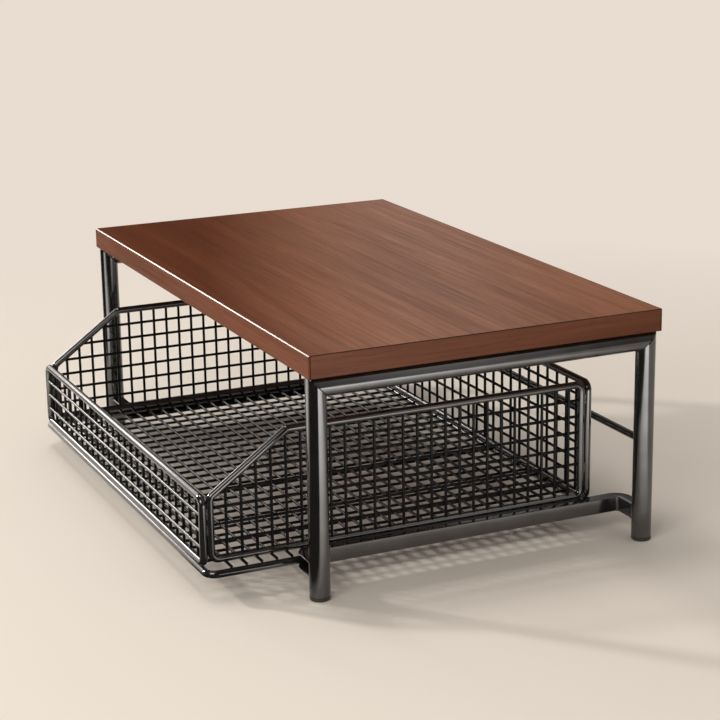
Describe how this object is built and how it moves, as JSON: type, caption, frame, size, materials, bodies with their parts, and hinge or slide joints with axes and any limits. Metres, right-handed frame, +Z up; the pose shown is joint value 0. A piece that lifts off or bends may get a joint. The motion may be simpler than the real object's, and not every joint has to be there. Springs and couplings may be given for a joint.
{
  "type": "countertop organizer with pull-out basket",
  "caption": "Low countertop shelf: a wooden board on black tube legs, over a wire basket with a sloped low front that slides out on two channel runners.",
  "frame": {"origin": "on the counter, under the middle of the part's outline with the basket where the picture shows it, part way out", "axes": "+X to the right along the board's width, +Y to the rear, +Z up"},
  "size_m": [0.51, 0.37, 0.192],
  "materials": {
    "walnut_board": "satin laminated walnut with grain along the width",
    "walnut_edge_band": "satin walnut edge strip",
    "black_frame": "satin black powder coat",
    "black_wire": "semi-gloss black powder coat",
    "foot_plastic": "matte black",
    "screw_steel": "zinc plated"
  },
  "bodies": {
    "frame": {"board_screws": "screw_steel", "foot_plugs": "foot_plastic", "front_edge_band": "walnut_edge_band", "front_left_leg": "black_frame", "front_right_leg": "black_frame", "left_edge_band": "walnut_edge_band", "left_runner": "black_frame", "left_top_rail": "black_frame", "rear_edge_band": "walnut_edge_band", "rear_left_leg": "black_frame", "rear_right_leg": "black_frame", "rear_rod": "black_frame", "right_edge_band": "walnut_edge_band", "right_runner": "black_frame", "right_top_rail": "black_frame", "top_board": "walnut_board"},
    "basket": {"basket_base_rim": "black_wire", "basket_cross_wires": "black_wire", "basket_front_frame": "black_wire", "basket_front_levels": "black_wire", "basket_front_uprights": "black_wire", "basket_left_frame": "black_wire", "basket_left_levels": "black_wire", "basket_left_uprights": "black_wire", "basket_long_wires": "black_wire", "basket_rear_frame": "black_wire", "basket_rear_levels": "black_wire", "basket_rear_uprights": "black_wire", "basket_right_frame": "black_wire", "basket_right_levels": "black_wire", "basket_right_uprights": "black_wire"}
  },
  "joints": [
    {"name": "basket_slide", "type": "slide", "parent": "frame", "child": "basket", "axis": [0, -1, 0], "range_m": [-0.02, 0.15]}
  ]
}
